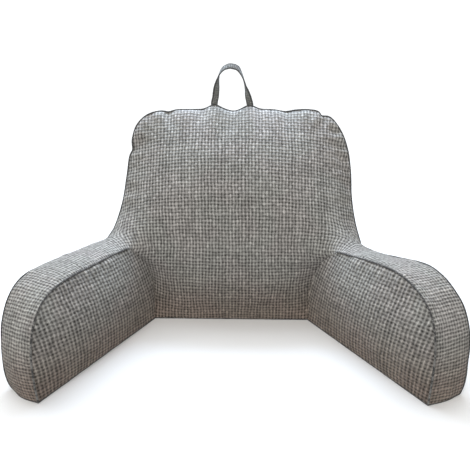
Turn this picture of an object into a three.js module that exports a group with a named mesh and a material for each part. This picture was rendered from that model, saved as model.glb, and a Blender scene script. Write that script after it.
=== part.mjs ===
// A backrest pillow with two splayed arms and a strap handle, in millimetres, +Z up.
// It stands on its flat base and faces -Y. The cover is a set of sewn panels that are held
// along their seams and blown up by the filling, so each panel is first spanned between its
// seam lines and then relaxed like an inflated skin. The filled cushions, the welts that lie
// in the seams and the strap are separate solids.
import * as THREE from 'three';

// Filling: curvature that the stuffing gives a free panel, per millimetre
const FRONT_PLUMPNESS = 0.0052;
const BACK_PLUMPNESS = 0.0034;
const RELAX_ROUNDS = 300;
const OVER_RELAXATION = 1.6;
// The skin then settles to its least area, with its links weighed anew each time
const SETTLE_TIMES = 16;
const SETTLE_ROUNDS = 25;

// Grid of each panel: how many cells along each of its seams
const CREASE_CELLS = 12;
const GUSSET_CELLS = 6;
const ARM_TOP_CELLS = 17;
const ARM_FRONT_CELLS = CREASE_CELLS;
const SIDE_CELLS = 16;
const WIDTH_CELLS = 26;

// Backrest: the seam plane leans back from the arm's root
const SEAM_LEAN = 0.4;
const SEAM_LEAN_FROM = { depth: 55, height: 148 };
const BACK_BASE = [
  { across: -207, depth: 98 },
  { across: -182, depth: 134 },
  { across: -135, depth: 152 },
  { across: -60, depth: 159 },
  { across: 10, depth: 160 },
  { across: 80, depth: 158 },
  { across: 145, depth: 150 },
  { across: 184, depth: 131 },
  { across: 205, depth: 94 },
];

// Outline of the backrest seam, from the left arm's root over the top to the right one
const BACK_OUTLINE = [
  { across: -222, height: 170 },
  { across: -207, height: 212 },
  { across: -200, height: 250 },
  { across: -195, height: 285 },
  { across: -190, height: 318 },
  { across: -180, height: 346 },
  { across: -158, height: 364 },
  { across: -120, height: 370 },
  { across: -60, height: 371 },
  { across: 0, height: 371 },
  { across: 60, height: 371 },
  { across: 110, height: 371 },
  { across: 150, height: 369 },
  { across: 177, height: 357 },
  { across: 197, height: 331 },
  { across: 208, height: 300 },
  { across: 213, height: 262 },
  { across: 214, height: 225 },
  { across: 221, height: 179 },
];

// Places where the seam is drawn in by the thread, or pulled up by a foot of the strap
const SEAM_PULLS = [
  { across: -190, height: 305, lift: -5, spread: 9 },
  { across: -122, height: 369, lift: -3, spread: 9 },
  { across: -38, height: 371, lift: 9, spread: 14 },
  { across: -2, height: 371, lift: -3, spread: 13 },
  { across: 27, height: 371, lift: 8, spread: 14 },
  { across: 93, height: 371, lift: -4, spread: 16 },
  { across: 164, height: 364, lift: -6, spread: 7 },
];

// Arms: where the crease meets the floor, the splay from straight ahead, how full the gusset
// over the arm is, and the seam lines as reach along the arm, offset outwards from its inner
// face, and height
const ARMS = {
  left: {
    side: -1,
    crease: { across: 150, depth: 28 },
    splay: 28.8,
    length: 334,
    gussetPlumpness: 0.015,
    root: { reach: 8, offset: 76 },
    endMiddle: { reach: 334, offset: 33 },
    heel: { reach: 321, offset: 63 },
    creaseSeam: [
      { reach: -6, offset: 3, height: 37 },
      { reach: -7, offset: 8, height: 78 },
      { reach: 11, offset: 14, height: 118 },
      { reach: 49, offset: 19, height: 157 },
    ],
    innerSeam: [
      { reach: 104, offset: 16, height: 163 },
      { reach: 166, offset: 11, height: 169 },
      { reach: 217, offset: 7, height: 174 },
      { reach: 257, offset: 4, height: 175 },
      { reach: 288, offset: 2, height: 170 },
      { reach: 313, height: 157 },
      { reach: 331, height: 131 },
      { reach: 340, height: 95 },
      { reach: 340, height: 48 },
    ],
    outerSeam: [
      { reach: 19, offset: 88, height: 149 },
      { reach: 60, offset: 82, height: 158 },
      { reach: 110, offset: 80, height: 165 },
      { reach: 161, offset: 80, height: 170 },
      { reach: 213, offset: 80, height: 174 },
      { reach: 249, offset: 80, height: 173 },
      { reach: 276, offset: 80, height: 163 },
      { reach: 298, offset: 79, height: 145 },
      { reach: 313, offset: 79, height: 114 },
      { reach: 319, offset: 79, height: 80 },
      { reach: 321, offset: 78, height: 50 },
      { reach: 322, offset: 75, height: 25 },
      { reach: 322, offset: 69, height: 9 },
    ],
  },
  right: {
    side: 1,
    crease: { across: 136, depth: 21 },
    splay: 29.8,
    length: 337,
    gussetPlumpness: 0.009,
    root: { reach: 12, offset: 80 },
    endMiddle: { reach: 341, offset: 34 },
    heel: { reach: 337, offset: 65 },
    creaseSeam: [
      { reach: -4, offset: 3, height: 39 },
      { reach: 3, offset: 8, height: 86 },
      { reach: 24, offset: 14, height: 127 },
      { reach: 57, offset: 19, height: 155 },
    ],
    innerSeam: [
      { reach: 99, offset: 16, height: 164 },
      { reach: 151, offset: 11, height: 176 },
      { reach: 197, offset: 7, height: 185 },
      { reach: 235, offset: 4, height: 189 },
      { reach: 273, offset: 2, height: 185 },
      { reach: 305, height: 173 },
      { reach: 328, height: 151 },
      { reach: 341, height: 112 },
      { reach: 342, height: 60 },
    ],
    outerSeam: [
      { reach: 29, offset: 93, height: 143 },
      { reach: 65, offset: 84, height: 149 },
      { reach: 105, offset: 80, height: 156 },
      { reach: 155, offset: 80, height: 167 },
      { reach: 200, offset: 80, height: 177 },
      { reach: 232, offset: 80, height: 180 },
      { reach: 260, offset: 80, height: 175 },
      { reach: 286, offset: 80, height: 163 },
      { reach: 311, offset: 80, height: 144 },
      { reach: 327, offset: 80, height: 114 },
      { reach: 334, offset: 79, height: 82 },
      { reach: 336, offset: 76, height: 55 },
      { reach: 338, offset: 74, height: 33 },
      { reach: 339, offset: 70, height: 16 },
    ],
  },
};

// Strap handle: a folded strip of the cover cloth, flat to the front at its feet and turned
// edge on over the top
const STRAP = { width: 12.5, thickness: 2.8, depth: 147.5, cells: 36 };
const STRAP_PATH = [
  { across: -38, height: 0, turn: 0 },
  { across: -35.8, height: 14, turn: 5 },
  { across: -34, height: 27, turn: 25 },
  { across: -33, height: 37, turn: 48 },
  { across: -31, height: 46, turn: 70 },
  { across: -27.5, height: 57, turn: 86 },
  { across: -20, height: 67, turn: 90 },
  { across: -11, height: 71, turn: 90 },
  { across: -2, height: 70, turn: 90 },
  { across: 5, height: 66, turn: 90 },
  { across: 10, height: 58, turn: 90 },
  { across: 15, height: 47, turn: 88 },
  { across: 19, height: 34, turn: 78 },
  { across: 22, height: 24, turn: 55 },
  { across: 24.4, height: 13, turn: 22 },
  { across: 27.5, height: -1, turn: 0 },
];

// Welts: a thin cord of the cover cloth along each outside seam
const WELT_RADIUS = 1.5;
const WELT_SIDES = 6;
const WELT_CLEARANCE = 0.5;
const PIECE_GAP = 0.3;
// the root wall slants across the arm, so the arm is drawn off it by more than the gap
const ROOT_SHIFT = 2.4 * PIECE_GAP;

const COLOURS = { cover: 0x85827d, welt: 0x4a4845, strap: 0x6b6965 };

const rad = THREE.MathUtils.degToRad;
const vec = (x, y, z) => new THREE.Vector3(x, y, z);

// Evenly spaced points along a smooth line
function along(points, cells) {
  const line = new THREE.CatmullRomCurve3(points, false, 'centripetal');
  line.arcLengthDivisions = 600;
  return line.getSpacedPoints(cells);
}

// A point of an arm, from its own reach, outward offset and height
function armPoint(arm, reach, offset, height) {
  const turn = rad(arm.splay);
  return vec(
    arm.side * (arm.crease.across + reach * Math.sin(turn) + offset * Math.cos(turn)),
    arm.crease.depth - reach * Math.cos(turn) + offset * Math.sin(turn),
    height,
  );
}

// The seam and floor lines of one arm, each from the backrest outwards
function armLines(arm) {
  const at = (row) => armPoint(arm, row.reach, row.offset ?? 0, row.height ?? 0);
  const creaseFoot = at({ reach: 0 });
  const toe = at({ reach: arm.length });
  const heel = at(arm.heel);
  const root = at(arm.root);
  const creaseTop = at(arm.creaseSeam.at(-1));
  const outerRoot = at(arm.outerSeam[0]);
  const seamCells = ARM_TOP_CELLS + ARM_FRONT_CELLS;
  return {
    crease: along([creaseFoot, ...arm.creaseSeam.map(at)], CREASE_CELLS),
    inner: along([creaseTop, ...arm.innerSeam.map(at), toe], seamCells),
    outer: along([...arm.outerSeam.map(at), heel], seamCells),
    innerFoot: along([creaseFoot, toe], ARM_TOP_CELLS),
    outerFoot: along([root, heel], ARM_TOP_CELLS),
    endFoot: along([toe, at(arm.endMiddle), heel], GUSSET_CELLS),
    rootFoot: along([creaseFoot, root], GUSSET_CELLS),
    rootSide: along([root, outerRoot], CREASE_CELLS),
    rootTop: along([creaseTop, outerRoot], GUSSET_CELLS),
  };
}

// The backrest seam over the top, leaning back and pulled by thread and strap
function backrestSeam(left, right) {
  const middle = { across: 0, height: 200 };
  const rows = BACK_OUTLINE.map(({ across, height }) => {
    const away = new THREE.Vector2(across - middle.across, height - middle.height);
    return { across, height, away: away.normalize() };
  });
  const lean = (height) =>
    SEAM_LEAN_FROM.depth + SEAM_LEAN * (height - SEAM_LEAN_FROM.height);
  const points = rows.map((row) => vec(row.across, lean(row.height), row.height));
  const seam = along(
    [left.outer[0], ...points, right.outer[0]],
    2 * SIDE_CELLS + WIDTH_CELLS,
  );
  return seam.map((p) => {
    const away = vec(p.x - middle.across, 0, p.z - middle.height).normalize();
    if (Math.abs(p.x) < 150) away.set(0, 0, 1);
    const pulled = p.clone();
    for (const { across, height, lift, spread } of SEAM_PULLS) {
      const distance = Math.hypot(p.x - across, p.z - height);
      pulled.addScaledVector(away, lift * Math.exp(-((distance / spread) ** 2)));
    }
    return pulled;
  });
}

// A sheet of points spanned between four lines; rows run from bottom to top
function span(bottom, top, left, right) {
  const cells = bottom.length - 1;
  const rows = left.length - 1;
  const corner = [bottom[0], bottom[cells], top[0], top[cells]];
  return left.map((_, j) =>
    bottom.map((_, i) => {
      const u = i / cells;
      const v = j / rows;
      const point = vec(0, 0, 0)
        .addScaledVector(left[j], 1 - u)
        .addScaledVector(right[j], u)
        .addScaledVector(bottom[i], 1 - v)
        .addScaledVector(top[i], v);
      point.addScaledVector(corner[0], -(1 - u) * (1 - v));
      point.addScaledVector(corner[1], -u * (1 - v));
      point.addScaledVector(corner[2], -(1 - u) * v);
      return point.addScaledVector(corner[3], -u * v);
    }),
  );
}

// The cover: panels that share the points on their common lines
class Cover {
  constructor() {
    this.points = [];
    this.index = new Map();
    this.panels = {};
    this.cells = [];
  }

  pointAt(point) {
    const key = [point.x, point.y, point.z].map((c) => Math.round(c * 1e3)).join();
    if (!this.index.has(key)) {
      this.index.set(key, this.points.length);
      this.points.push({ at: point.clone(), held: false, near: new Map(), cells: [] });
    }
    return this.index.get(key);
  }

  // facing is 1 where rows-by-columns order faces out, and -1 where it faces in
  addPanel(name, sheet, facing, plumpness) {
    const grid = sheet.map((row) => row.map((point) => this.pointAt(point)));
    this.panels[name] = { grid, facing };
    grid.forEach((row, j) =>
      row.forEach((id, i) => {
        if (i > 0) this.join(id, row[i - 1]);
        if (j > 0) this.join(id, grid[j - 1][i]);
        if (i > 0 && j > 0) {
          const cell = [grid[j - 1][i - 1], grid[j - 1][i], id, row[i - 1]];
          this.cells.push(cell);
          for (const corner of cell) this.points[corner].cells.push({ cell, facing, plumpness });
        }
      }),
    );
  }

  join(a, b) {
    this.points[a].near.set(b, 1);
    this.points[b].near.set(a, 1);
  }

  hold(line) {
    for (const point of line) this.points[this.pointAt(point)].held = true;
  }

  // Moves each free point to the mean of its neighbours, pushed out by the filling
  relax(rounds) {
    const free = this.points.filter((point) => !point.held);
    const push = vec(0, 0, 0);
    const a = vec(0, 0, 0);
    const b = vec(0, 0, 0);
    for (let round = 0; round < rounds; round += 1) {
      for (const point of free) {
        push.set(0, 0, 0);
        for (const { cell, facing, plumpness } of point.cells) {
          a.subVectors(this.points[cell[2]].at, this.points[cell[0]].at);
          b.subVectors(this.points[cell[3]].at, this.points[cell[1]].at);
          push.addScaledVector(a.cross(b), (facing * plumpness) / 8);
        }
        let sum = 0;
        for (const [id, weight] of point.near) {
          push.addScaledVector(this.points[id].at, weight);
          sum += weight;
        }
        point.at.lerp(push.divideScalar(sum), OVER_RELAXATION);
      }
    }
  }

  // Weighs each link by the angles opposite to it, as in a skin of even tension
  weigh() {
    for (const point of this.points) point.near = new Map();
    const add = (from, to, weight) => {
      const { near } = this.points[from];
      near.set(to, (near.get(to) ?? 0) + weight);
    };
    const a = vec(0, 0, 0);
    const b = vec(0, 0, 0);
    for (const cell of this.cells) {
      for (const skipped of [0, 1, 2, 3]) {
        const corners = cell.filter((_, k) => k !== skipped);
        corners.forEach((tip, k) => {
          const [from, to] = [corners[(k + 1) % 3], corners[(k + 2) % 3]];
          a.subVectors(this.points[from].at, this.points[tip].at);
          b.subVectors(this.points[to].at, this.points[tip].at);
          const weight = a.dot(b) / (4 * a.cross(b).length());
          add(from, to, weight);
          add(to, from, weight);
        });
      }
    }
    for (const { near } of this.points) {
      for (const [id, weight] of near) if (weight < 0) near.set(id, 0);
    }
  }

  fill() {
    this.relax(RELAX_ROUNDS);
    for (let time = 0; time < SETTLE_TIMES; time += 1) {
      this.weigh();
      this.relax(SETTLE_ROUNDS);
    }
  }

  // The relaxed points of a panel, as rows
  sheet(name) {
    return this.panels[name].grid.map((row) => row.map((id) => this.points[id].at));
  }

  // The mean outward direction at a point of the cover
  outwardAt(id) {
    const out = vec(0, 0, 0);
    for (const { cell, facing } of this.points[id].cells) {
      const [p, q, r, s] = cell.map((corner) => this.points[corner].at);
      const face = vec(0, 0, 0).subVectors(r, p).cross(vec(0, 0, 0).subVectors(s, q));
      out.addScaledVector(face.normalize(), facing);
    }
    return out.normalize();
  }
}

const reversed = (line) => [...line].reverse();
const columnOf = (sheet, i) => sheet.map((row) => row[i]);

// Sews the front, gussets, inner arms, back and outer arms into one cover
function sewCover(lines, seam) {
  const { left, right } = lines;
  const cover = new Cover();
  const leftSide = seam.slice(0, SIDE_CELLS + 1);
  const top = seam.slice(SIDE_CELLS, SIDE_CELLS + WIDTH_CELLS + 1);
  const rightSide = reversed(seam.slice(SIDE_CELLS + WIDTH_CELLS));
  const frontFoot = along([left.crease[0], right.crease[0]], WIDTH_CELLS);
  const frontEdge = (arm, side) => [
    ...arm.crease,
    ...arm.rootTop.slice(1),
    ...side.slice(1),
  ];
  const backFoot = along(
    [
      left.rootFoot.at(-1),
      ...BACK_BASE.map(({ across, depth }) => vec(across, depth, 0)),
      right.rootFoot.at(-1),
    ],
    WIDTH_CELLS,
  );
  const backEdge = (arm, side) => [...arm.rootSide, ...side.slice(1)];
  cover.addPanel(
    'front',
    span(frontFoot, top, frontEdge(left, leftSide), frontEdge(right, rightSide)),
    1,
    FRONT_PLUMPNESS,
  );
  cover.addPanel(
    'back',
    span(backFoot, top, backEdge(left, leftSide), backEdge(right, rightSide)),
    -1,
    BACK_PLUMPNESS,
  );
  for (const [name, arm] of Object.entries(lines)) {
    const { side, gussetPlumpness } = ARMS[name];
    const armTop = (line) => line.slice(0, ARM_TOP_CELLS + 1);
    const armFront = (line) => reversed(line.slice(ARM_TOP_CELLS));
    cover.addPanel(
      `inner_${name}`,
      span(arm.innerFoot, armTop(arm.inner), arm.crease, armFront(arm.inner)),
      side,
      FRONT_PLUMPNESS,
    );
    cover.addPanel(
      `outer_${name}`,
      span(arm.outerFoot, armTop(arm.outer), arm.rootSide, armFront(arm.outer)),
      -side,
      FRONT_PLUMPNESS,
    );
    cover.addPanel(
      `gusset_${name}`,
      span(arm.inner, arm.outer, arm.rootTop, arm.endFoot),
      side,
      gussetPlumpness,
    );
    for (const line of [arm.crease, arm.inner, arm.outer]) cover.hold(line);
    for (const line of [arm.innerFoot, arm.outerFoot, arm.endFoot]) cover.hold(line);
  }
  for (const line of [frontFoot, backFoot, seam]) cover.hold(line);
  cover.feet = { frontFoot, backFoot };
  return cover;
}

// Closes sheets of points into one geometry; a facing of -1 turns a sheet over
function closeSheets(sheets) {
  const positions = [];
  for (const { sheet, facing } of sheets) {
    for (let j = 1; j < sheet.length; j += 1) {
      for (let i = 1; i < sheet[j].length; i += 1) {
        const a = sheet[j - 1][i - 1];
        const b = sheet[j - 1][i];
        const c = sheet[j][i];
        const d = sheet[j][i - 1];
        // the shorter diagonal keeps the sheet smooth
        const halves =
          a.distanceTo(c) <= b.distanceTo(d)
            ? [[a, b, c], [a, c, d]]
            : [[a, b, d], [b, c, d]];
        for (const [p, q, r] of halves) {
          const corners = facing > 0 ? [p, q, r] : [p, r, q];
          const flat = q.clone().sub(p).cross(r.clone().sub(p)).length() < 1e-6;
          if (!flat) for (const corner of corners) positions.push(...corner.toArray());
        }
      }
    }
  }
  const geometry = new THREE.BufferGeometry();
  geometry.setAttribute('position', new THREE.Float32BufferAttribute(positions, 3));
  geometry.computeVertexNormals();
  return geometry;
}

// The wall where an arm meets the backrest, spanned between the relaxed panel edges
function rootWall(cover, lines, name) {
  const arm = lines[name];
  const crease = columnOf(cover.sheet(`inner_${name}`), 0);
  const side = columnOf(cover.sheet(`outer_${name}`), 0);
  const rootTop = columnOf(cover.sheet(`gusset_${name}`), 0);
  return span(arm.rootFoot, rootTop, crease, side);
}

function backrestGeometry(cover, lines) {
  const { frontFoot, backFoot } = cover.feet;
  const base = span(frontFoot, backFoot, lines.left.rootFoot, lines.right.rootFoot);
  const walls = Object.keys(lines).map((name) => ({
    sheet: rootWall(cover, lines, name),
    facing: ARMS[name].side,
  }));
  return closeSheets([
    { sheet: cover.sheet('front'), facing: 1 },
    { sheet: cover.sheet('back'), facing: -1 },
    { sheet: base, facing: -1 },
    ...walls,
  ]);
}

function armGeometry(cover, lines, name) {
  const arm = lines[name];
  const { side } = ARMS[name];
  const base = span(arm.innerFoot, arm.outerFoot, arm.rootFoot, arm.endFoot);
  // the whole root is drawn off the backrest by the gap between pieces
  const root = rootWall(cover, lines, name);
  const shift = armPoint(ARMS[name], ROOT_SHIFT, 0, 0).sub(armPoint(ARMS[name], 0, 0, 0));
  const key = (p) => p.toArray().map((c) => c.toFixed(3)).join();
  const rim = new Set(root.flat().map(key));
  const drawn = (sheet) =>
    sheet.map((row) => row.map((p) => (rim.has(key(p)) ? p.clone().add(shift) : p)));
  return closeSheets([
    { sheet: drawn(cover.sheet(`inner_${name}`)), facing: side },
    { sheet: drawn(cover.sheet(`outer_${name}`)), facing: -side },
    { sheet: drawn(cover.sheet(`gusset_${name}`)), facing: side },
    { sheet: drawn(base), facing: -side },
    { sheet: drawn(root), facing: -side },
  ]);
}

// The middle line of a welt, drawn off its seam by its own radius and its clearance
function weltLine(cover, seamPoints) {
  const line = seamPoints.map((point) => {
    const id = cover.pointAt(point);
    const out = cover.outwardAt(id);
    const centre = cover.points[id].at.clone();
    centre.addScaledVector(out, WELT_RADIUS + WELT_CLEARANCE);
    return { centre, out };
  });
  // an end beside the floor is slid up along the cord until it rests on it
  const slide = ({ centre: end }, { centre: next }) => {
    const short = WELT_RADIUS - end.z;
    if (short > 0) end.lerp(next, short / (next.z - end.z));
  };
  slide(line[0], line[1]);
  slide(line.at(-1), line.at(-2));
  return line;
}

// A round cord through its middle line, as rings set square to it
function weltGeometry(line) {
  const rings = line.map(({ centre, out }, k) => {
    const before = line[Math.max(k - 1, 0)].centre;
    const after = line[Math.min(k + 1, line.length - 1)].centre;
    const ahead = after.clone().sub(before).normalize();
    const side = vec(0, 0, 0).crossVectors(ahead, out).normalize();
    const up = vec(0, 0, 0).crossVectors(side, ahead);
    return Array.from({ length: WELT_SIDES + 1 }, (_, n) => {
      const turn = (2 * Math.PI * (n % WELT_SIDES)) / WELT_SIDES;
      return centre
        .clone()
        .addScaledVector(up, WELT_RADIUS * Math.cos(turn))
        .addScaledVector(side, WELT_RADIUS * Math.sin(turn));
    });
  });
  const disc = (ring, { centre }) => [ring, ring.map(() => centre)];
  return closeSheets([
    { sheet: rings, facing: 1 },
    { sheet: disc(rings[0], line[0]), facing: -1 },
    { sheet: disc(rings.at(-1), line.at(-1)), facing: 1 },
  ]);
}

// The strap: a flat section swept over the loop, turning as it goes, on top of the welt
function strapGeometry(welt) {
  const { across: foot } = STRAP_PATH[0];
  const under = welt.filter(({ centre }) => Math.abs(centre.x - foot) < STRAP.width / 2);
  const seat = Math.max(...under.map(({ centre }) => centre.z)) + WELT_RADIUS + PIECE_GAP;
  const place = ({ across, height }) => vec(across, STRAP.depth, seat + height);
  const line = new THREE.CatmullRomCurve3(STRAP_PATH.map(place), false, 'centripetal');
  const turns = STRAP_PATH.map(({ turn }) => rad(turn));
  const depthways = vec(0, 1, 0);
  const rings = Array.from({ length: STRAP.cells + 1 }, (_, k) => {
    const t = k / STRAP.cells;
    const step = Math.min(Math.floor(t * (turns.length - 1)), turns.length - 2);
    const turn = THREE.MathUtils.lerp(
      turns[step],
      turns[step + 1],
      t * (turns.length - 1) - step,
    );
    const centre = line.getPoint(t);
    const forward = line.getTangent(t);
    const inPlane = vec(0, 0, 0).crossVectors(depthways, forward).normalize();
    const wide = inPlane
      .multiplyScalar(Math.cos(turn))
      .addScaledVector(depthways, Math.sin(turn));
    const thick = vec(0, 0, 0).crossVectors(forward, wide);
    const corner = (w, h) =>
      centre
        .clone()
        .addScaledVector(wide, (w * STRAP.width) / 2)
        .addScaledVector(thick, (h * STRAP.thickness) / 2);
    return [corner(-1, -1), corner(1, -1), corner(1, 1), corner(-1, 1), corner(-1, -1)];
  });
  const cap = (ring) => [[ring[0], ring[1]], [ring[3], ring[2]]];
  return closeSheets([
    { sheet: rings, facing: 1 },
    { sheet: cap(rings[0]), facing: -1 },
    { sheet: cap(rings.at(-1)), facing: 1 },
  ]);
}

function piece(name, geometry, colour) {
  const cloth = new THREE.MeshStandardMaterial({ color: colour, roughness: 0.95, metalness: 0 });
  const mesh = new THREE.Mesh(geometry, cloth);
  mesh.name = name;
  return mesh;
}

const lines = { left: armLines(ARMS.left), right: armLines(ARMS.right) };
const seam = backrestSeam(lines.left, lines.right);
const cover = sewCover(lines, seam);
cover.fill();

const outerSeam = [...reversed(lines.left.outer), ...seam.slice(1, -1), ...lines.right.outer];
const outerWelt = weltLine(cover, outerSeam);

const pillow = new THREE.Group();
pillow.add(piece('backrest', backrestGeometry(cover, lines), COLOURS.cover));
pillow.add(piece('outer_welt', weltGeometry(outerWelt), COLOURS.welt));
for (const [name, arm] of Object.entries(lines)) {
  const armWelt = weltLine(cover, arm.inner);
  pillow.add(piece(`arm_${name}`, armGeometry(cover, lines, name), COLOURS.cover));
  pillow.add(piece(`arm_welt_${name}`, weltGeometry(armWelt), COLOURS.welt));
}
pillow.add(piece('carry_strap', strapGeometry(outerWelt), COLOURS.strap));

// The origin is on the floor, under the middle of the whole pillow
const middle = new THREE.Box3().setFromObject(pillow).getCenter(new THREE.Vector3());
pillow.position.set(-middle.x, -middle.y, 0);

export default pillow;
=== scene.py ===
# %% [markdown]
# # A backrest pillow, sewn flat and filled round
# The pillow stands on its flat base, with two splayed arms and a cloth strap on its top seam.
# Its looks are made here around a CAD part, which gives the size and place of every piece.
# The CAD frame is loaded first, and the boxes of its parts are read from it later.

import math

import bpy
import numpy as np
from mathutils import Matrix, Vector, kdtree, noise


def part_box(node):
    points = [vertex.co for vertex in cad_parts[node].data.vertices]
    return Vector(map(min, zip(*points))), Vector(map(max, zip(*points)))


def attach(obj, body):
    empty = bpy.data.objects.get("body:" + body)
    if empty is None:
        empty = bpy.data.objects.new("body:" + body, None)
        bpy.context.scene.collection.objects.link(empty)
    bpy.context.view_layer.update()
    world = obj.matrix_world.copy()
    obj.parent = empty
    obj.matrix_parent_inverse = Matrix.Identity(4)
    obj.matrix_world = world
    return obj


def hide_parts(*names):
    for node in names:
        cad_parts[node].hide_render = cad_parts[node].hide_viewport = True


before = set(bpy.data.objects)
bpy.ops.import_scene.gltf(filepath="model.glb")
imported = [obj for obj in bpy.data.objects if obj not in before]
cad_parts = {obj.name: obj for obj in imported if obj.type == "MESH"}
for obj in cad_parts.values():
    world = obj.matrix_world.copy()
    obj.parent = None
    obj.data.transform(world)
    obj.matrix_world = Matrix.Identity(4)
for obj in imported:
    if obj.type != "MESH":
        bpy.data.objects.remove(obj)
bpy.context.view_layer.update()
MM = 0.001

# %% [markdown]
# ## The sewing pattern in numbers
# A maker starts from a few seam lines: the outline of the back, the crease beside each arm,
# the seam inside each arm and the seam outside it. The same lines in the same millimetres
# shape the CAD solids, so the cover that is sewn from them fits the part.
# The cells say how many squares of cloth each line is cut into on the coarsest grid.

# %% Sizes of the cover
CREASE_CELLS, GUSSET_CELLS, ARM_CELLS, SIDE_CELLS, WIDTH_CELLS = 12, 6, 17, 16, 26
FRONT_PLUMPNESS, BACK_PLUMPNESS = 0.0052, 0.0034
SEAM_LEAN, LEAN_DEPTH, LEAN_HEIGHT = 0.4, 55, 148

# across, depth
BACK_BASE = [
    (-207, 98), (-182, 134), (-135, 152), (-60, 159), (10, 160),
    (80, 158), (145, 150), (184, 131), (205, 94),
]
# across, height
BACK_OUTLINE = [
    (-222, 170), (-207, 212), (-200, 250), (-195, 285), (-190, 318), (-180, 346), (-158, 364),
    (-120, 370), (-60, 371), (0, 371), (60, 371), (110, 371), (150, 369), (177, 357),
    (197, 331), (208, 300), (213, 262), (214, 225), (221, 179),
]
# pulls go out from a middle at this height, and straight up over the middle of the top
PULL_MIDDLE, STRAIGHT_TOP = 200, 150
# across, height, lift, spread: where thread or strap pulls the seam
SEAM_PULLS = [
    (-190, 305, -5, 9), (-122, 369, -3, 9), (-38, 371, 9, 14), (-2, 371, -3, 13),
    (27, 371, 8, 14), (93, 371, -4, 16), (164, 364, -6, 7),
]
# the arms' lines: reach along the arm, offset outwards, height
ARMS = {
    "left": {
        "side": -1, "crease": (150, 28), "splay": 28.8, "length": 334, "gusset_plumpness": 0.015,
        "root": (8, 76), "end_middle": (334, 33), "heel": (321, 63),
        "crease_seam": [(-6, 3, 37), (-7, 8, 78), (11, 14, 118), (49, 19, 157)],
        "inner_seam": [
            (104, 16, 163), (166, 11, 169), (217, 7, 174), (257, 4, 175), (288, 2, 170),
            (313, 0, 157), (331, 0, 131), (340, 0, 95), (340, 0, 48),
        ],
        "outer_seam": [
            (19, 88, 149), (60, 82, 158), (110, 80, 165), (161, 80, 170), (213, 80, 174),
            (249, 80, 173), (276, 80, 163), (298, 79, 145), (313, 79, 114), (319, 79, 80),
            (321, 78, 50), (322, 75, 25), (322, 69, 9),
        ],
    },
    "right": {
        "side": 1, "crease": (136, 21), "splay": 29.8, "length": 337, "gusset_plumpness": 0.009,
        "root": (12, 80), "end_middle": (341, 34), "heel": (337, 65),
        "crease_seam": [(-4, 3, 39), (3, 8, 86), (24, 14, 127), (57, 19, 155)],
        "inner_seam": [
            (99, 16, 164), (151, 11, 176), (197, 7, 185), (235, 4, 189), (273, 2, 185),
            (305, 0, 173), (328, 0, 151), (341, 0, 112), (342, 0, 60),
        ],
        "outer_seam": [
            (29, 93, 143), (65, 84, 149), (105, 80, 156), (155, 80, 167), (200, 80, 177),
            (232, 80, 180), (260, 80, 175), (286, 80, 163), (311, 80, 144), (327, 80, 114),
            (334, 79, 82), (336, 76, 55), (338, 74, 33), (339, 70, 16),
        ],
    },
}

# %% [markdown]
# ## Smooth lines and sheets between them
# A seam is a smooth curve through a few points, cut into equal lengths. A panel begins as the
# sheet that four such lines span, each line pulling on the whole sheet. Curves could also be
# Blender objects, but arrays of points are easier to sew together exactly.

# %% Lines and sheets
def curve_at(points, places):
    """Points on a centripetal Catmull-Rom curve; its ends are carried on straight."""
    points = np.asarray(points, float)
    ends = 2 * points[[0, -1]] - points[[1, -2]]
    knots = np.vstack([ends[:1], points, ends[1:]])
    spot = np.clip(places, 0, 1) * (len(points) - 1)
    step = np.minimum(spot.astype(int), len(points) - 2)
    w = (spot - step)[:, None]
    a, b, c, d = (knots[step + k] for k in range(4))
    ab, bc, cd = (np.linalg.norm(q - p, axis=1)[:, None] ** 0.5 for p, q in ((a, b), (b, c), (c, d)))
    start = bc * ((b - a) / ab - (c - a) / (ab + bc) + (c - b) / bc)
    end = bc * ((c - b) / bc - (d - b) / (bc + cd) + (d - c) / cd)
    return b + w * (start + w * (3 * (c - b) - 2 * start - end + w * (2 * (b - c) + start + end)))


def smooth_line(points, cells):
    """The same curve at evenly spaced points."""
    places = np.linspace(0, 1, 1201)
    fine = curve_at(points, places)
    length = np.append(0, np.cumsum(np.linalg.norm(np.diff(fine, axis=0), axis=1)))
    return curve_at(points, np.interp(np.linspace(0, length[-1], cells + 1), length, places))


def span(bottom, top, left, right):
    """A sheet of points between four lines; its rows run from bottom to top."""
    u = np.linspace(0, 1, len(bottom))[None, :, None]
    v = np.linspace(0, 1, len(left))[:, None, None]
    sheet = (1 - u) * left[:, None] + u * right[:, None] + (1 - v) * bottom + v * top
    sheet = sheet - (1 - v) * ((1 - u) * bottom[0] + u * bottom[-1])
    return sheet - v * ((1 - u) * top[0] + u * top[-1])


def finer(sheet):
    """The same sheet with twice as many cells both ways, kept smooth."""
    for _ in range(2):
        ends = 2 * sheet[[0, -1]] - sheet[[1, -2]]
        rows = np.concatenate([ends[:1], sheet, ends[1:]])
        between = (9 * (rows[1:-2] + rows[2:-1]) - rows[:-3] - rows[3:]) / 16
        doubled = np.empty((2 * len(sheet) - 1,) + sheet.shape[1:])
        doubled[::2], doubled[1::2] = sheet, between
        sheet = doubled.swapaxes(0, 1)
    return sheet


# %% [markdown]
# ## Cutting the panels
# The front is one piece of tweed that runs over both arms as their gussets, so no seam crosses
# it there. Each arm also has an inner panel, sewn into the crease, and an outer one that goes on
# into the back. The base is flat. Every panel says which way it faces and how strongly the
# filling blows it out.

# %% Lines of the arms and the back
def arm_point(arm, reach, offset=0, height=0):
    turn = math.radians(arm["splay"])
    across, depth = arm["crease"]
    return np.array([
        arm["side"] * (across + reach * math.sin(turn) + offset * math.cos(turn)),
        depth - reach * math.cos(turn) + offset * math.sin(turn),
        height,
    ])


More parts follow.
